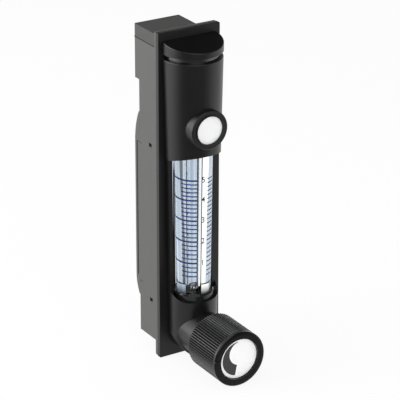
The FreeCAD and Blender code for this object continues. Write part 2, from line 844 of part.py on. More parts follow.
def make_spindle():
    profile = [
        (0, -spindle_start),
        (collar_radius, -spindle_start),
        (collar_radius, -collar_front),
        (spindle_radius, -collar_front),
        (spindle_radius, -spindle_end),
        (0, -spindle_end),
    ]
    spindle = turned(profile, 0, valve_height)
    hole = needle_tail_radius + running_gap
    spindle = spindle.cut(rod(0, valve_height, hole, -spindle_hole_end, 0))
    spindle = spindle.cut(box(-spindle_radius, spindle_radius, -spindle_end - overcut, -spindle_flat_start,
                              valve_height + spindle_flat, valve_height + spindle_radius + overcut))
    return spindle.cut(rod(0, valve_height, knob_screw_radius, -spindle_end - overcut,
                           -spindle_end + knob_screw_length))


def make_gland_nut():
    head_back_y = -boss_front - cartridge_flange_length
    head_front = head_back_y - gland_head_length
    start = -collar_front - running_gap
    nut = rod(0, valve_height, gland_radius, head_back_y, start)
    corners = []
    for step in range(7):
        turn = math.radians(60 * step)
        corners.append(Vector(gland_head_radius * math.cos(turn), head_front,
                              valve_height + gland_head_radius * math.sin(turn)))
    head = Part.Face(Part.makePolygon(corners)).extrude(Vector(0, gland_head_length, 0))
    nut = nut.fuse(head).removeSplitter()
    nut = nut.cut(rod(0, valve_height, spindle_radius + running_gap, head_front - overcut, overcut))
    ring_room = spindle_radius + running_gap + 2 * gland_ring_section
    ring_floor = start - 2 * gland_ring_section - seat_gap
    return nut.cut(rod(0, valve_height, ring_room, ring_floor, start + overcut))


def make_gland_ring():
    radius = spindle_radius + running_gap + gland_ring_section
    place = -collar_front - running_gap - gland_ring_section - seat_gap
    return ring_facing(0, place, valve_height, radius, gland_ring_section)


def make_knob():
    back = -knob_back
    front = -knob_front
    web_back = -recess_floor + knob_web
    hub_back = back - knob_hub_setback
    root = knob_radius - knob_bevel
    profile = [
        (knob_radius - knob_wall - flute_depth, back),
        (knob_radius, back),
        (knob_radius, front + knob_bevel_depth),
        (knob_radius - knob_bevel / 3, front + knob_bevel_depth / 3),
        (root, front),
        (knob_recess_radius, front),
        (knob_recess_radius, -recess_floor),
        (0, -recess_floor),
        (0, hub_back),
        (knob_hub_radius, hub_back),
        (knob_hub_radius, web_back),
        (knob_radius - knob_wall - flute_depth, web_back),
    ]
    knob = turned(profile, 0, valve_height)
    flute_end = front + knob_bevel_depth + flute_start
    half_width = flute_share * math.pi * knob_radius / knob_flutes
    flutes = []
    for number in range(knob_flutes):
        groove = Part.Face(Part.makePolygon([
            Vector(knob_radius + flute_depth, back + overcut, -2 * half_width),
            Vector(knob_radius - flute_depth, back + overcut, 0),
            Vector(knob_radius + flute_depth, back + overcut, 2 * half_width),
            Vector(knob_radius + flute_depth, back + overcut, -2 * half_width),
        ])).extrude(Vector(0, flute_end - back - overcut, 0))
        groove.rotate(Vector(0, 0, 0), BACK, 360.0 * number / knob_flutes)
        groove.translate(Vector(0, 0, valve_height))
        flutes.append(groove)
    knob = knob.cut(flutes)
    index_start = (knob_recess_radius + root) / 2
    index = box(-knob_radius, -index_start, front - knob_index_height, front + knob_bevel,
                valve_height - knob_index_width / 2, valve_height + knob_index_width / 2)
    index.rotate(Vector(0, 0, valve_height), BACK, knob_index_angle)
    envelope = rod(0, valve_height, knob_radius, front - overcut, back)
    knob = knob.fuse(index.common(envelope)).removeSplitter()
    shaft = rod(0, valve_height, spindle_radius, -spindle_end, hub_back + overcut)
    flat = box(-spindle_radius, spindle_radius, -spindle_end, -spindle_flat_start,
               valve_height + spindle_flat, valve_height + spindle_radius + overcut)
    knob = knob.cut(shaft.cut(flat))
    head_room = -recess_floor + knob_screw_head_height
    counterbore = knob_screw_head_radius + seat_gap
    knob = knob.cut(rod(0, valve_height, counterbore, -recess_floor - overcut, head_room))
    screw_bore = knob_screw_radius + seat_gap
    return knob.cut(rod(0, valve_height, screw_bore, head_room - overcut, -spindle_end + overcut))


def make_knob_screw():
    head_front = -recess_floor + seat_gap
    head_end = -recess_floor + knob_screw_head_height
    head = rod(0, valve_height, knob_screw_head_radius, head_front, head_end)
    shank = rod(0, valve_height, knob_screw_radius, head_end, -spindle_end + knob_screw_length - seat_gap)
    socket_back = head_front + knob_screw_head_height / 2
    socket = rod(0, valve_height, knob_screw_radius, head_front - overcut, socket_back)
    return head.fuse(shank).removeSplitter().cut(socket)


def make_knob_disc():
    radius = knob_recess_radius - knob_disc_inset
    return rod(0, valve_height, radius, -recess_floor - knob_disc_thickness, -recess_floor)


def make_screws(places):
    """Socket-head screws as one group of separate solids."""
    screws = []
    for x, z in places:
        seat = screw_back(z) - screw_sink
        head = rod(x, z, screw_head_radius, seat, seat + screw_head_height)
        shank = rod(x, z, screw_radius, -screw_grip, seat)
        screw = head.fuse(shank).removeSplitter()
        top = seat + screw_head_height
        screws.append(screw.cut(rod(x, z, screw_socket_radius, top - screw_socket_depth, top + overcut)))
    return Part.makeCompound(screws)


pieces = {
    "front_plate": make_front_plate(),
    "main_body": make_main_body(),
    "top_block": make_top_block(),
    "rear_cover": make_rear_cover(),
    "sleeve": make_sleeve(),
    "badge_disc": make_badge_disc(),
    "top_cap": make_top_cap(),
    "end_block": make_end_block(),
    "lower_shell": make_lower_shell(),
    "metering_tube": make_metering_tube(),
    "reflector": make_reflector(),
    "tube_cup": make_tube_cup(),
    "tube_face_ring": make_tube_face_ring(),
    "tube_neck_ring": make_tube_neck_ring(),
    "float_ball": make_float_ball(),
    "lower_float_stop": make_float_stop(tube_bottom, ball_seat_height, bore_radius(ball_seat_height)),
    "upper_float_stop": make_float_stop(tube_top, upper_stop_height, bore_radius(upper_stop_height)),
    "outlet_bush": make_bush(outlet_height, passage_radius),
    "valve_seat": make_bush(valve_height, seat_bore_radius),
    "valve_cartridge": make_cartridge(),
    "needle": make_needle(),
    "needle_ring": make_needle_ring(),
    "spindle": make_spindle(),
    "gland_nut": make_gland_nut(),
    "gland_ring": make_gland_ring(),
    "knob": make_knob(),
    "knob_screw": make_knob_screw(),
    "knob_disc": make_knob_disc(),
    "lower_screws": make_screws(screw_places()[:2]),
    "upper_screws": make_screws(screw_places()[2:]),
}

inlet_mouth = Vector(port_x, body_back, inlet_height)
for name, shape in pieces.items():
    shape.translate(-inlet_mouth)
    shape.exportStep("parts/" + name + ".step")
    print(name, shape.isValid(), len(shape.Solids), round(shape.Volume, 2))
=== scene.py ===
import math

import bpy
from mathutils import Matrix, Vector


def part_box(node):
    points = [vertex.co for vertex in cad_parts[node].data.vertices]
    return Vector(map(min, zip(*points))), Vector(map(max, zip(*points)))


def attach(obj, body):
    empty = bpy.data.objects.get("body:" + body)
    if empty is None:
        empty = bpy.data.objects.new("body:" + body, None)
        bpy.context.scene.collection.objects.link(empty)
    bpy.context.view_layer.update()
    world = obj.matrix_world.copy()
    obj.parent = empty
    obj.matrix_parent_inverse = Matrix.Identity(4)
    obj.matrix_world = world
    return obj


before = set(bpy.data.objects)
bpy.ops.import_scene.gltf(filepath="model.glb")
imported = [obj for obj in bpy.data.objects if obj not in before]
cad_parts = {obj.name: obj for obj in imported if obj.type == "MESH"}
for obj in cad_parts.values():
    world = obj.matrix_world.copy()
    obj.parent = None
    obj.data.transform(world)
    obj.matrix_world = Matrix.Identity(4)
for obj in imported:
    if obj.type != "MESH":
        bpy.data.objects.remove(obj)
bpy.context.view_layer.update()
bpy.ops.object.select_all(action="DESELECT")

# Front plate
# A flat moulding in satin black plastic. It lies against the body's flange, stands a little past it all
# round, and is what the reader sees behind the round housing.
MM = 0.001
plate_edge = 0.2 * MM


def wire(tree, node, inputs):
    """Sets a node's inputs, each to a plain value or to another node's output."""
    for key, value in inputs.items():
        if isinstance(value, bpy.types.NodeSocket):
            tree.links.new(value, node.inputs[key])
        else:
            node.inputs[key].default_value = value


def add_node(tree, kind, inputs=None, **settings):
    """A node of a kind, with its settings by name and its inputs as values or other nodes' outputs."""
    node = tree.nodes.new(kind)
    for key, value in settings.items():
        setattr(node, key, value)
    wire(tree, node, inputs or {})
    return node


def maths(tree, operation, *values):
    """The result of a Math node on plain values and other nodes' outputs."""
    return add_node(tree, "ShaderNodeMath", dict(enumerate(values)), operation=operation).outputs[0]


def painted(tree, under, mask, color):
    """Lays a colour over another where a mask is one."""
    mix = add_node(tree, "ShaderNodeMix", {"A": under, "B": color, "Factor": mask}, data_type="RGBA")
    return mix.outputs["Result"]


def blank_material(name):
    """A new node material with its shader, which every finish below starts from."""
    material = bpy.data.materials.new(name)
    material.use_nodes = True
    return material, material.node_tree, material.node_tree.nodes["Principled BSDF"]


def moulded_skin_group():
    """Fine spark-eroded grain and slow unevenness, as a plastic moulding takes from its tool."""
    group = bpy.data.node_groups.new("moulded_skin", "ShaderNodeTree")
    face = group.interface
    for name, value in (("Grain Size", 3000.0), ("Mottle Size", 90.0), ("Roughness", 0.45), ("Spread", 0.08)):
        face.new_socket(name=name, in_out="INPUT", socket_type="NodeSocketFloat").default_value = value
    for name in ("Shade", "Roughness", "Height"):
        face.new_socket(name=name, in_out="OUTPUT", socket_type="NodeSocketFloat")
    given = add_node(group, "NodeGroupInput").outputs
    place = add_node(group, "ShaderNodeTexCoord").outputs["Object"]
    noises = []
    for size, detail in (("Grain Size", 2.0), ("Mottle Size", 3.0)):
        noise = add_node(group, "ShaderNodeTexNoise", {"Vector": place, "Scale": given[size],
                                                       "Detail": detail})
        noises.append(noise.outputs["Fac"])
    grain, mottle = noises
    centred = maths(group, "SUBTRACT", mottle, 0.5)
    rough = maths(group, "MULTIPLY_ADD", centred, given["Spread"], given["Roughness"])
    shade = maths(group, "MULTIPLY_ADD", mottle, 0.5, 0.5)
    add_node(group, "NodeGroupOutput", {"Shade": shade, "Roughness": rough, "Height": grain})
    return group


moulded_skin = moulded_skin_group()


def moulded_plastic(name, dark, light, roughness, specular, grain_depth):
    """A moulded plastic between two near shades, with its tool's grain."""
    material, tree, shader = blank_material(name)
    skin = add_node(tree, "ShaderNodeGroup", {"Roughness": roughness}, node_tree=moulded_skin)
    shades = painted(tree, (*dark, 1.0), skin.outputs["Shade"], (*light, 1.0))
    bump = add_node(tree, "ShaderNodeBump", {"Strength": 0.5, "Distance": grain_depth,
                                             "Height": skin.outputs["Height"]})
    wire(tree, shader, {"Base Color": shades, "Roughness": skin.outputs["Roughness"],
                        "Normal": bump.outputs["Normal"], "Specular IOR Level": specular})
    return material


def dress(material, *names):
    """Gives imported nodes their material."""
    for name in names:
        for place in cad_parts[name].material_slots:
            place.material = material


def soften_edges(name, width):
    """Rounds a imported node's sharp edges a little, as a moulding tool leaves them, to catch the light."""
    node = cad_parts[name]
    joined = node.modifiers.new("joined_corners", "WELD")
    joined.merge_threshold = 0.001 * MM
    edges = node.modifiers.new("soft_edges", "BEVEL")
    edges.width = width
    edges.segments = 2
    edges.limit_method = "ANGLE"
    edges.angle_limit = math.radians(40)


plate_black = moulded_plastic("plate_black", (0.003, 0.003, 0.0031), (0.005, 0.005, 0.0051), 0.42, 0.5,
                              0.00003)
dress(plate_black, "front_plate")
soften_edges("front_plate", plate_edge)

# Body, top block and rear cover
# The body is one thick moulding that carries the ports and the flow passages. The block closes its head and
# the bowed cover snaps over its hollow back. All three are black plastic, given a grey shade paler than the
# plate's as a painted sheen for the light on their sides, the block a little darker.
body_edge = 0.15 * MM
block_edge = 0.2 * MM
# Painted sheen: the grey shade of these blacks stands in for the light on their sides.
body_black_painted_sheen = moulded_plastic("body_black_painted_sheen", (0.055, 0.055, 0.053), (0.07, 0.07, 0.067), 0.4, 0.5, 0.00003)
dress(body_black_painted_sheen, "main_body", "rear_cover")
block_black_painted_sheen = moulded_plastic("block_black_painted_sheen", (0.03, 0.03, 0.029), (0.04, 0.04, 0.038), 0.4, 0.5, 0.00003)
dress(block_black_painted_sheen, "top_block")
soften_edges("main_body", body_edge)
soften_edges("top_block", block_edge)

# Seals of the top block and the rear cover
# Thin black sheets that close the joints of the two lids with the body. Only their edges show, as the dark
# lines under the block and along the cover.
seal_black = moulded_plastic("seal_black", (0.004, 0.004, 0.004), (0.008, 0.008, 0.008), 0.6, 0.25, 0.00002)
seal_proud = 0.03 * MM
seal_inset = 0.3 * MM
block_seal_thickness = 0.36 * MM
cover_seal_thickness = 0.7 * MM
cover_seal_lap = 0.2 * MM
block_seam_drop = 5.8 * MM
cover_thickness = 1.5 * MM
cover_lower_ramp, cover_upper_ramp = 8.0 * MM, 12.0 * MM
block_low, block_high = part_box("top_block")
cover_low, cover_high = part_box("rear_cover")
block_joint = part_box("front_plate")[1].z - block_seam_drop
cover_joint = cover_high.y - cover_thickness


def finish_piece(piece, material, body):
    """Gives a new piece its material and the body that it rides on."""
    piece.data.materials.clear()
    piece.data.materials.append(material)
    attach(piece, body)
    bpy.ops.object.select_all(action="DESELECT")


def seal_strip(name, low, high):
    """A strip of sealing sheet between two corners."""
    bpy.ops.mesh.primitive_cube_add(size=1, location=(Vector(low) + Vector(high)) / 2)
    strip = bpy.context.object
    strip.name = name
    strip.scale = Vector(high) - Vector(low)
    bpy.ops.object.transform_apply(location=True, scale=True)
    finish_piece(strip, seal_black, "housing")


seal_strip("block_seal", (block_low.x - seal_proud, block_low.y, block_joint - block_seal_thickness / 2),
           (block_high.x + seal_proud, block_high.y + seal_proud, block_joint + block_seal_thickness / 2))
seal_rear = cover_joint + cover_seal_lap
for name, inner, outer in (("cover_seal_left", block_low.x + seal_inset, block_low.x - seal_proud),
                           ("cover_seal_right", block_high.x - seal_inset, block_high.x + seal_proud)):
    seal_strip(name, (min(inner, outer), seal_rear - cover_seal_thickness, cover_low.z + cover_lower_ramp),
               (max(inner, outer), seal_rear, cover_high.z - cover_upper_ramp))

# Sleeve, cap and lower shell
# Half-round covers in satin black plastic, snapped on from the front over the tube and the valve.
cover_black = moulded_plastic("cover_black", (0.003, 0.003, 0.0031), (0.005, 0.005, 0.0051), 0.36, 0.5,
                              0.00002)
dress(cover_black, "sleeve", "top_cap", "lower_shell")

# Badge
# A smooth white disc in the sleeve's round boss, left bare. A black ring pressed in before it holds it and
# makes it look deeper set.
badge_white = moulded_plastic("badge_white", (0.86, 0.87, 0.88), (0.9, 0.9, 0.9), 0.3, 0.4, 0.000005)
dress(badge_white, "badge_disc")
badge_ring_inner_radius = 5.35 * MM
badge_ring_proud = 0.3 * MM
badge_ring_edge = 0.12 * MM
badge_low, badge_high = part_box("badge_disc")
badge_ring_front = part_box("sleeve")[0].y - badge_ring_proud
badge_ring_middle = (badge_low + badge_high) / 2
badge_ring_middle.y = (badge_low.y + badge_ring_front) / 2


def apply_modifier(piece, name, kind, **settings):
    """Adds a modifier to the active piece and applies it."""
    modifier = piece.modifiers.new(name, kind)
    for key, value in settings.items():
        setattr(modifier, key, value)
    bpy.ops.object.modifier_apply(modifier=name)


bpy.ops.mesh.primitive_cylinder_add(vertices=96, radius=badge_ring_inner_radius, end_fill_type="NOTHING",
                                    depth=badge_low.y - badge_ring_front, location=badge_ring_middle,
                                    rotation=(math.radians(90), 0, 0))
badge_ring = bpy.context.object
badge_ring.name = "badge_ring"
bpy.ops.object.transform_apply(location=True, rotation=True)
apply_modifier(badge_ring, "wall", "SOLIDIFY", offset=1,
               thickness=(badge_high.x - badge_low.x) / 2 - badge_ring_inner_radius)
apply_modifier(badge_ring, "soft_edges", "BEVEL", width=badge_ring_edge, segments=2, limit_method="ANGLE")
bpy.ops.object.shade_smooth_by_angle(angle=math.radians(30))
finish_piece(badge_ring, cover_black, "housing")

# End block
# The bright block that holds the tube's upper end. It shows only in the slit under the cap.


def turned_metal(name, color, low, high, scale):
    """A turned or polished metal with a slightly uneven shine."""
    material, tree, shader = blank_material(name)
    place = add_node(tree, "ShaderNodeTexCoord").outputs["Object"]
    unevenness = add_node(tree, "ShaderNodeTexNoise", {"Vector": place, "Scale": scale})
    spread = add_node(tree, "ShaderNodeMapRange", {"Value": unevenness.outputs["Fac"], "To Min": low,
                                                   "To Max": high})
    wire(tree, shader, {"Base Color": (*color, 1.0), "Metallic": 1.0, "Roughness": spread.outputs["Result"]})
    return material


end_metal = turned_metal("end_metal", (0.12, 0.123, 0.126), 0.16, 0.3, 400.0)
dress(end_metal, "end_block")

# Metering tube
# A thick tube of clear glass with a narrow tapered bore. The scale is printed on its outside.
tube_low, tube_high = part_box("metering_tube")
tube_x = (tube_low.x + tube_high.x) / 2
tube_y = (tube_low.y + tube_high.y) / 2
tube_neck_length = 6.0 * MM
tube_foot, tube_shoulder = tube_low.z, tube_high.z - tube_neck_length
tube_foot_radius, tube_shoulder_radius = 6.38 * MM, 7.18 * MM
tube_glass, glass_tree, glass_shader = blank_material("tube_glass")
wire(glass_tree, glass_shader, {"Base Color": (0.97, 0.985, 0.99, 1.0), "Roughness": 0.02, "IOR": 1.48,
                                "Transmission Weight": 1.0})
dress(tube_glass, "metering_tube")


def tube_radius(z):
    """The tube's outer radius at a height in the row frame."""
    share = (z - tube_foot) / (tube_shoulder - tube_foot)
    return tube_foot_radius + share * (tube_shoulder_radius - tube_foot_radius)


# Scale on the tube
# Fired blue lines on the left, small dark figures in the middle and short dark lines on the right. They run
# from 0.4 to 5 in steps of 0.2, and each whole number has a longer and thicker line on the left.
print_lift = 0.06 * MM
print_thickness = 0.03 * MM
cut_tolerance = 0.001 * MM
scale_zero, scale_slope, scale_droop = 14.5 * MM, 9.27 * MM, 0.15 * MM
steps_per_unit = 5
first_step, last_step = 2, 25
line_right_angle = -21
long_line = (-118, 0.62 * MM)
short_line = (-72, 0.46 * MM)
side_line_left_angle, side_line_right_angle = 15, 42
side_line_height = 0.4 * MM
figure_height = 3.2 * MM
figure_stroke = 0.03 * MM
figure_angle = math.radians(-0.5)
scale_blue = moulded_plastic("scale_blue", (0.006, 0.016, 0.1), (0.009, 0.022, 0.13), 0.4, 0.2, 0.000002)
scale_dark = moulded_plastic("scale_dark", (0.006, 0.008, 0.02), (0.01, 0.012, 0.03), 0.4, 0.2, 0.000002)


def mark_height(value):
    """Where a value of the scale stands. The float rises a little less for each further unit of flow."""
    return scale_zero + scale_slope * value - scale_droop * value ** 2


def arc_piece(name, radius, z, start, end, height):
    """Part of a thin upright wall round the tube, between two angles from the front towards the right."""
    bpy.ops.mesh.primitive_cylinder_add(vertices=180, radius=radius, depth=height, end_fill_type="NOTHING",
                                        location=(0, 0, z))
    arc = bpy.context.object
    arc.name = name
    bpy.ops.object.transform_apply(location=True)
    bpy.ops.object.mode_set(mode="EDIT")
    for angle, keep_right in ((start, True), (end, False)):
        turn = math.radians(angle)
        bpy.ops.mesh.select_all(action="SELECT")
        bpy.ops.mesh.bisect(plane_co=(0, 0, z), plane_no=(math.cos(turn), math.sin(turn), 0),
                            clear_inner=keep_right, clear_outer=not keep_right, threshold=cut_tolerance)
    bpy.ops.object.mode_set(mode="OBJECT")
    return arc


def join_on_tube(name, parts, material):
    """Makes one thin piece of many parts, moved to the tube's centre line and thick enough to be solid."""
    bpy.ops.object.select_all(action="DESELECT")
    for part in parts:
        part.select_set(True)
    bpy.context.view_layer.objects.active = parts[0]
    bpy.ops.object.join()
    piece = bpy.context.object
    piece.name = name
    piece.location = (tube_x, tube_y, 0)
    bpy.ops.object.transform_apply(location=True, rotation=True, scale=True)
    apply_modifier(piece, "thickness", "SOLIDIFY", thickness=print_thickness, offset=0)
    finish_piece(piece, material, "housing")


left_marks = []
right_marks = []
for step in range(first_step, last_step + 1):
    z = mark_height(step / steps_per_unit)
    radius = tube_radius(z) + print_lift
    left_angle, line_height = short_line if step % steps_per_unit else long_line
    left_marks.append(arc_piece("left_mark", radius, z, left_angle, line_right_angle, line_height))
    right_marks.append(arc_piece("right_mark", radius, z, side_line_left_angle, side_line_right_angle,
                                 side_line_height))
join_on_tube("scale_lines", left_marks, scale_blue)
join_on_tube("scale_side_lines", right_marks, scale_dark)

figures = []
for number in range(1, last_step // steps_per_unit + 1):
    bpy.ops.object.text_add(location=(0, 0, 0), rotation=(math.radians(90), 0, 0))
    figure = bpy.context.object
    figure.data.body = str(number)
    figure.data.size = figure_height
    figure.data.offset = figure_stroke
    figure.data.align_x = "CENTER"
    figure.data.align_y = "CENTER"
    bpy.ops.object.convert(target="MESH")
    figure.location = (0, -2 * tube_shoulder_radius, mark_height(number))
    bpy.ops.object.transform_apply(location=True, rotation=True, scale=True)
    bpy.ops.object.mode_set(mode="EDIT")
    bpy.ops.mesh.select_all(action="SELECT")
    bpy.ops.mesh.subdivide(number_cuts=3)
    bpy.ops.object.mode_set(mode="OBJECT")
    for corner in figure.data.vertices:
        reach = tube_radius(corner.co.z) + print_lift
        turn = figure_angle + corner.co.x / reach
        corner.co = (reach * math.sin(turn), -reach * math.cos(turn), corner.co.z)
    figures.append(figure)
join_on_tube("scale_figures", figures, scale_dark)

# Strip behind the tube
# A curved white strip that stands behind the tube as a bright ground for the scale, with two thin sheets
# beside the tube. Strip and sheets carry a painted glow by angle, up to full white, with painted bright and
# dark bands that lean with the taper, which the thick glass shows, and a painted shade at the strip's left
# end.
# Colours of the painted glow that the strip and the seat's wall give, though they are no lamps, and of the
# painted shade at the strip's left end.
painted_pale_glow_color = (0.44, 0.52, 0.61, 1.0)
painted_blue_glow_color = (0.29, 0.35, 0.47, 1.0)
painted_white_glow_color = (1.15, 1.15, 1.15, 1.0)
no_glow_color = (0.0, 0.0, 0.0, 1.0)
painted_shade_color = (0.01, 0.01, 0.01, 1.0)
glow_sheet_radius = 7.97 * MM
glow_sheet_right_angles = (118.8, 139.8)
glow_sheet_left_angles = (-122.0, -104.0)


def vector_maths(tree, operation, *values):
    """The outputs of a Vector Math node: a vector first, and Value for a length or a dot product."""
    return add_node(tree, "ShaderNodeVectorMath", dict(enumerate(values)), operation=operation).outputs


def tube_angle(tree):
    """The angle in degrees about the tube, from straight back towards the right, and the height in mm."""
    place = add_node(tree, "ShaderNodeTexCoord").outputs["Object"]
    centred = vector_maths(tree, "SUBTRACT", place, (tube_x, tube_y, 0))[0]
    parts = add_node(tree, "ShaderNodeSeparateXYZ", {"Vector": centred}).outputs
    degrees = maths(tree, "DEGREES", maths(tree, "ARCTAN2", parts["X"], parts["Y"]))
    return degrees, maths(tree, "DIVIDE", parts["Z"], MM)


def slanted(tree, angle, height, slope):
    """The angle with a share of the height added, for bands that lean with the tube's taper."""
    return maths(tree, "MULTIPLY_ADD", height, slope, angle)


def band(tree, value, low, high, softness):
    """A mask of one between two values, with soft edges."""
    masks = []
    for start, end in ((low - softness, low), (high + softness, high)):
        edge = add_node(tree, "ShaderNodeMapRange", {"Value": value, "From Min": start, "From Max": end})
        masks.append(edge.outputs["Result"])
    return maths(tree, "MULTIPLY", *masks)


def repaint(material, mask, color):
    """Lays a colour over a moulded plastic's own shades where a mask is one."""
    tree = material.node_tree
    shader = tree.nodes["Principled BSDF"]
    shades = shader.inputs["Base Color"].links[0].from_socket
    wire(tree, shader, {"Base Color": painted(tree, shades, mask, color)})


def light_up(material, glow):
    """Paints a glow onto a material, light of its own though it is no lamp."""
    wire(material.node_tree, material.node_tree.nodes["Principled BSDF"],
         {"Emission Color": glow, "Emission Strength": 1.0})


strip_white = moulded_plastic("strip_white", (0.5, 0.53, 0.56), (0.54, 0.57, 0.6), 0.5, 0.3, 0.00001)
strip_tree = strip_white.node_tree
strip_angle, strip_height = tube_angle(strip_tree)
# Painted glow bands by angle: a blue band, a painted dark line and a painted white line that lean with the
# taper, and a painted shade at the left end.
painted_blue_band = band(strip_tree, strip_angle, 6.0, 20.0, 3.0)
painted_dark_line = band(strip_tree, slanted(strip_tree, strip_angle, strip_height, 0.083), 28.6, 29.6, 0.1)
painted_white_line = band(strip_tree, slanted(strip_tree, strip_angle, strip_height, -0.08), 33.0, 34.3, 0.15)
painted_shade_end = band(strip_tree, slanted(strip_tree, strip_angle, strip_height, 0.12), -50.0, -33.2, 0.8)
strip_painted_glow = painted_pale_glow_color
for mask, color in ((painted_blue_band, painted_blue_glow_color), (painted_dark_line, no_glow_color), (painted_white_line, painted_white_glow_color),
                    (painted_shade_end, no_glow_color)):
    strip_painted_glow = painted(strip_tree, strip_painted_glow, mask, color)
light_up(strip_white, strip_painted_glow)
# The left end's own colour is darkened as well, as painted shade.
repaint(strip_white, painted_shade_end, painted_shade_color)
dress(strip_white, "reflector")
strip_low, strip_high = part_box("reflector")
# Two thin sheets beside the tube carry the same painted glow, where the glass shows it.
for name, angles in (("glow_sheet_right", glow_sheet_right_angles), ("glow_sheet_left", glow_sheet_left_angles)):
    glow_sheet = arc_piece(name, glow_sheet_radius, (strip_low.z + strip_high.z) / 2, *angles, strip_high.z - strip_low.z)
    join_on_tube(name, [glow_sheet], strip_white)

# Inside the tube and at its ends
# Black seat and seal rings at the tube's ends, drilled plastic stops in the bore, and the polished ball that
# rides up the bore. The seat's inner wall carries a painted glow in the strip's bands, which the glass shows.
dress(seal_black, "tube_face_ring", "tube_neck_ring", "needle_ring", "gland_ring")


def reach_from(tree, centre, across):
    """How far a point is from an axis through a centre. The directions across the axis are given as ones."""
    place = add_node(tree, "ShaderNodeTexCoord").outputs["Object"]
    offset = vector_maths(tree, "SUBTRACT", place, centre)[0]
    flat = vector_maths(tree, "MULTIPLY", offset, across)[0]
    return vector_maths(tree, "LENGTH", flat)["Value"]


cup_black = moulded_plastic("cup_black", (0.006, 0.006, 0.006), (0.009, 0.009, 0.009), 0.2, 0.5, 0.000005)
cup_tree = cup_black.node_tree
cup_angle, cup_height = tube_angle(cup_tree)
cup_reach = reach_from(cup_tree, (tube_x, tube_y, 0), (1.0, 1.0, 0.0))
# Painted glow on the seat's inner wall, in the strip's pale and white bands, over a band of its height.
cup_wall = band(cup_tree, cup_reach, 6.3 * MM, 6.62 * MM, 0.02 * MM)
cup_rise = band(cup_tree, cup_height, 10.4, 20.0, 3.4)
cup_painted_glow = painted(cup_tree, no_glow_color, band(cup_tree, cup_angle, 22.95, 35.0, 0.1), painted_pale_glow_color)
cup_painted_glow = painted(cup_tree, cup_painted_glow, band(cup_tree, cup_angle, 37.5, 42.0, 0.5), painted_white_glow_color)
cup_painted_light = maths(cup_tree, "MULTIPLY", cup_wall, cup_rise)
light_up(cup_black, painted(cup_tree, no_glow_color, cup_painted_light, cup_painted_glow))
dress(cup_black, "tube_cup")
stop_grey = moulded_plastic("stop_grey", (0.05, 0.05, 0.052), (0.07, 0.07, 0.072), 0.35, 0.4, 0.00001)
dress(stop_grey, "lower_float_stop", "upper_float_stop")
ball_metal = turned_metal("ball_metal", (0.3, 0.3, 0.31), 0.08, 0.12, 300.0)
dress(ball_metal, "float_ball")

# Valve
# A turned brass cartridge, seat and gland nut with a steel needle and spindle, mostly inside the boss.
valve_brass = turned_metal("valve_brass", (0.7, 0.5, 0.22), 0.2, 0.36, 700.0)
dress(valve_brass, "outlet_bush", "valve_seat", "valve_cartridge", "gland_nut")
turned_steel = turned_metal("turned_steel", (0.5, 0.5, 0.51), 0.2, 0.35, 700.0)
dress(turned_steel, "needle", "spindle")

# Screws
# Socket-head screws of plain steel, sunk into the rear of the body, and one in the knob.
screw_steel = turned_metal("screw_steel", (0.3, 0.3, 0.31), 0.3, 0.45, 900.0)
dress(screw_steel, "lower_screws", "upper_screws", "knob_screw")

# Knob
# A hollow black moulding with straight flutes, a bevelled rim and a white dished face. Its ridges are
# painted a little paler than its grooves, a painted highlight against the shaded grooves.
knob_black = moulded_plastic("knob_black", (0.002, 0.002, 0.002), (0.004, 0.004, 0.004), 0.2, 0.22, 0.000005)
knob_low, knob_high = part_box("knob")
knob_radius = (knob_high.x - knob_low.x) / 2
knob_centre = (knob_low + knob_high) / 2
# Painted highlight: the ridges at the knob's full radius are made paler than the grooves.
knob_reach = reach_from(knob_black.node_tree, knob_centre, (1.0, 0.0, 1.0))
knob_ridge_highlight = band(knob_black.node_tree, knob_reach, knob_radius - 0.05 * MM, knob_radius + MM, 0.1 * MM)
repaint(knob_black, knob_ridge_highlight, (0.032, 0.032, 0.032, 1.0))
dress(knob_black, "knob")
face_white = moulded_plastic("face_white", (0.94, 0.94, 0.94), (0.97, 0.97, 0.97), 0.25, 0.4, 0.000003)
dress(face_white, "knob_disc")

# Crescent on the knob's face
# A dark printed crescent that widens towards open. It is the face's round less a smaller round set off
# towards the upper right, kept on the left between its thin end at the top and its blunt end below.
crescent_grey = moulded_plastic("crescent_grey", (0.035, 0.035, 0.036), (0.042, 0.042, 0.043), 0.35, 0.4,
                                0.000003)
crescent_radius = 6.8 * MM
crescent_inner_radius = 4.8 * MM
crescent_inner_offset = Vector((1.0 * MM, 0.0, 2.0 * MM))
crescent_blunt_angle = math.radians(-168.5)
face_low, face_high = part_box("knob_disc")
crescent_middle = (face_low + face_high) / 2
crescent_middle.y = face_low.y - print_thickness


def face_round(radius, place, depth):
    """A flat round that faces the reader."""
    bpy.ops.mesh.primitive_cylinder_add(vertices=120, radius=radius, depth=depth, location=place,
                                        rotation=(math.radians(90), 0, 0))
    bpy.ops.object.transform_apply(location=True, rotation=True)
    return bpy.context.object


cutter = face_round(crescent_inner_radius, crescent_middle + crescent_inner_offset, 4 * print_thickness)
crescent = face_round(crescent_radius, crescent_middle, print_thickness)
crescent.name = "knob_crescent"
apply_modifier(crescent, "inner_round", "BOOLEAN", operation="DIFFERENCE", solver="EXACT", object=cutter)
bpy.data.objects.remove(cutter)
bpy.ops.object.mode_set(mode="EDIT")
for turn, keep_left in ((0.0, True), (crescent_blunt_angle, False)):
    across = (math.cos(turn), 0, -math.sin(turn))
    bpy.ops.mesh.select_all(action="SELECT")
    bpy.ops.mesh.bisect(plane_co=crescent_middle, plane_no=across, use_fill=True, clear_outer=keep_left,
                        clear_inner=not keep_left, threshold=cut_tolerance)
bpy.ops.object.mode_set(mode="OBJECT")
finish_piece(crescent, crescent_grey, "knob")

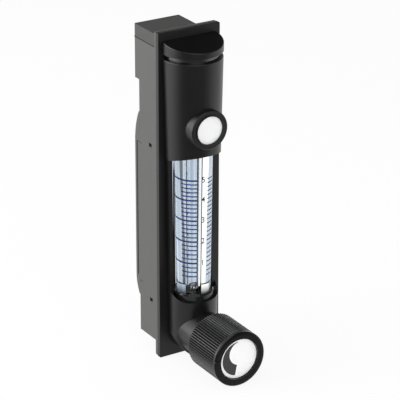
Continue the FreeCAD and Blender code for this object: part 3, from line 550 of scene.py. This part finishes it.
# Port threads
# A pipe thread in each rear port, cut as a fine V that runs in from the mouth. The V is a triangle without
# its side on the port's wall, wound round the port's centre line.
port_radius = 4.3 * MM
outlet_height = 100.5 * MM
thread_pitch = 0.94 * MM
thread_depth = 0.45 * MM
thread_turns = 8
triangle_radius = thread_pitch / math.sqrt(3)
for name, mouth, height in (("inlet_thread", 0.0, 0.0), ("outlet_thread", block_high.y, outlet_height)):
    bpy.ops.mesh.primitive_circle_add(vertices=3, radius=triangle_radius, rotation=(0, 0, math.radians(90)))
    thread = bpy.context.object
    thread.name = name
    bpy.ops.object.transform_apply(rotation=True)
    thread.scale.x = thread_depth / (1.5 * triangle_radius)
    thread.location.x = port_radius - thread_depth / 3
    bpy.ops.object.transform_apply(location=True, scale=True)
    bpy.ops.object.mode_set(mode="EDIT")
    bpy.ops.mesh.select_mode(type="EDGE")
    bpy.ops.mesh.select_all(action="DESELECT")
    bpy.ops.object.mode_set(mode="OBJECT")
    for edge in thread.data.edges:
        edge.select = all(abs(thread.data.vertices[n].co.x - port_radius) < 0.01 * MM for n in edge.vertices)
    bpy.ops.object.mode_set(mode="EDIT")
    bpy.ops.mesh.delete(type="EDGE_FACE")
    bpy.ops.mesh.select_mode(type="VERT")
    bpy.ops.object.mode_set(mode="OBJECT")
    apply_modifier(thread, "winding", "SCREW", axis="Y", angle=math.radians(360), steps=64,
                   screw_offset=thread_pitch, iterations=thread_turns)
    thread.location = (0, mouth - (thread_turns + 0.5) * thread_pitch, height)
    bpy.ops.object.transform_apply(location=True)
    finish_piece(thread, body_black_painted_sheen, "housing")

# Floor and surroundings
# A plain pale floor at the plate's lower edge and a pale studio round it. Reflections find a lit backdrop
# behind the object, a lit floor close to it, and dark before it and overhead.
backdrop_direction = (0.45, 0.89, 0.0)
backdrop_start, backdrop_full = -0.85, -0.1
front_shine = 0.055
scattered_level = 0.6
floor_shine = 0.9
floor_middle = (0.0, -0.015)
near_floor_level = 0.65
near_floor_reach, near_floor_end = 0.05, 0.16
ceiling_start, ceiling_end = 0.1, 0.4


def smooth_fade(tree, value, start, end, first, last):
    """Turns smoothly from a first level to a last one while a value goes from a start to an end."""
    fade = add_node(tree, "ShaderNodeMapRange", {"Value": value, "From Min": start, "From Max": end,
                                                 "To Min": first, "To Max": last},
                    interpolation_type="SMOOTHSTEP")
    return fade.outputs["Result"]


def white_behind(tree, direction):
    """How bright a reflection finds the surroundings in a direction, from the dark front to the backdrop."""
    towards = vector_maths(tree, "DOT_PRODUCT", direction, backdrop_direction)["Value"]
    return smooth_fade(tree, towards, backdrop_start, backdrop_full, front_shine, 1.0)


def mirrored_rays(tree, rays):
    """One for rays that a surface mirrors or glass lets through."""
    return maths(tree, "MAXIMUM", rays["Is Glossy Ray"], rays["Is Transmission Ray"])


def seen_as(tree, rays, mirrored, plain, shine):
    """A strength: white for the camera, shine for reflections and glass, plain for scattered light."""
    strength = plain
    for mask, level in ((mirrored, shine), (rays["Is Camera Ray"], 1.0)):
        mix = add_node(tree, "ShaderNodeMix", {"A": strength, "B": level, "Factor": mask}, data_type="FLOAT")
        strength = mix.outputs["Result"]
    return strength


floor_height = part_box("front_plate")[0].z
bpy.ops.mesh.primitive_plane_add(size=6, location=(0, 0, floor_height))
floor = bpy.context.object
floor.name = "floor"
pale, pale_tree, pale_shader = blank_material("pale_floor")
wire(pale_tree, pale_shader, {"Base Color": (0.9, 0.9, 0.9, 1.0), "Roughness": 0.9})
pale_rays = add_node(pale_tree, "ShaderNodeLightPath").outputs
pale_place = add_node(pale_tree, "ShaderNodeNewGeometry").outputs["Position"]
pale_offset = vector_maths(pale_tree, "SUBTRACT", pale_place, (*floor_middle, floor_height))[0]
pale_direction = vector_maths(pale_tree, "NORMALIZE", pale_offset)[0]
pale_distance = vector_maths(pale_tree, "LENGTH", pale_offset)["Value"]
pale_near = smooth_fade(pale_tree, pale_distance, near_floor_reach, near_floor_end, near_floor_level, 0.0)
pale_lit = maths(pale_tree, "MAXIMUM", pale_near, white_behind(pale_tree, pale_direction))
pale_mirrored = mirrored_rays(pale_tree, pale_rays)
pale_strength = seen_as(pale_tree, pale_rays, pale_mirrored, 0.0, pale_lit)
pale_any = maths(pale_tree, "MAXIMUM", pale_rays["Is Camera Ray"], pale_mirrored)
pale_share = maths(pale_tree, "MULTIPLY", pale_any, floor_shine)
pale_glow = add_node(pale_tree, "ShaderNodeEmission", {"Strength": pale_strength}).outputs["Emission"]
pale_mix = add_node(pale_tree, "ShaderNodeMixShader", {"Fac": pale_share, 1: pale_shader.outputs["BSDF"],
                                                       2: pale_glow})
wire(pale_tree, pale_tree.nodes["Material Output"], {"Surface": pale_mix.outputs["Shader"]})
floor.data.materials.append(pale)

world = bpy.data.worlds.new("studio")
world.use_nodes = True
bpy.context.scene.world = world
studio = world.node_tree
studio_rays = add_node(studio, "ShaderNodeLightPath").outputs
studio_direction = add_node(studio, "ShaderNodeTexCoord").outputs["Generated"]
studio_rise = add_node(studio, "ShaderNodeSeparateXYZ", {"Vector": studio_direction}).outputs["Z"]
below_ceiling = smooth_fade(studio, studio_rise, ceiling_start, ceiling_end, 1.0, 0.0)
studio_lit = maths(studio, "MULTIPLY", below_ceiling, white_behind(studio, studio_direction))
studio_mirrored = mirrored_rays(studio, studio_rays)
studio_strength = seen_as(studio, studio_rays, studio_mirrored, scattered_level, studio_lit)
wire(studio, studio.nodes["Background"], {"Color": (1.0, 1.0, 1.0, 1.0), "Strength": studio_strength})

# Lamps and camera
# Soft lamps from the left, the front and above, and the camera where the photograph was taken from.


def softbox(name, place, target, width, height, radiance):
    """A rectangular soft lamp that faces a point, sized by how bright its face is."""
    bpy.ops.object.light_add(type="AREA", location=place)
    lamp = bpy.context.object
    lamp.name = name
    lamp.data.shape = "RECTANGLE"
    lamp.data.size = width
    lamp.data.size_y = height
    lamp.data.energy = radiance * math.pi * width * height
    lamp.rotation_euler = (Vector(target) - Vector(place)).to_track_quat("-Z", "Y").to_euler()
    lamp.visible_camera = False


middle = (0.0, 0.0, 0.045)
softbox("lamp_left", (-0.55, 0.25, 0.25), middle, 0.7, 0.7, 3.0)
softbox("lamp_front", (-0.2, -0.95, 0.4), middle, 0.9, 0.6, 2.0)
softbox("lamp_above", (-0.1, -0.25, 0.8), middle, 0.7, 0.5, 0.8)

camera_azimuth = math.radians(-31.754)
camera_elevation = math.radians(23.006)
camera_roll = math.radians(0.12)
camera_place = Vector((-0.3907, -0.6575, 0.36538))
focal_pixels = 2195.07
picture_pixels = 400
sensor_width = 36.0
bpy.ops.object.camera_add()
camera = bpy.context.object
camera.name = "camera"
camera.data.sensor_width = sensor_width
camera.data.lens = focal_pixels / picture_pixels * sensor_width
camera.data.clip_start = 0.01
camera.matrix_world = (Matrix.Translation(camera_place) @ Matrix.Rotation(camera_azimuth, 4, "Z")
                       @ Matrix.Rotation(math.pi / 2 - camera_elevation, 4, "X")
                       @ Matrix.Rotation(camera_roll, 4, "Z"))
bpy.context.scene.camera = camera
bpy.context.scene.view_settings.view_transform = "Standard"
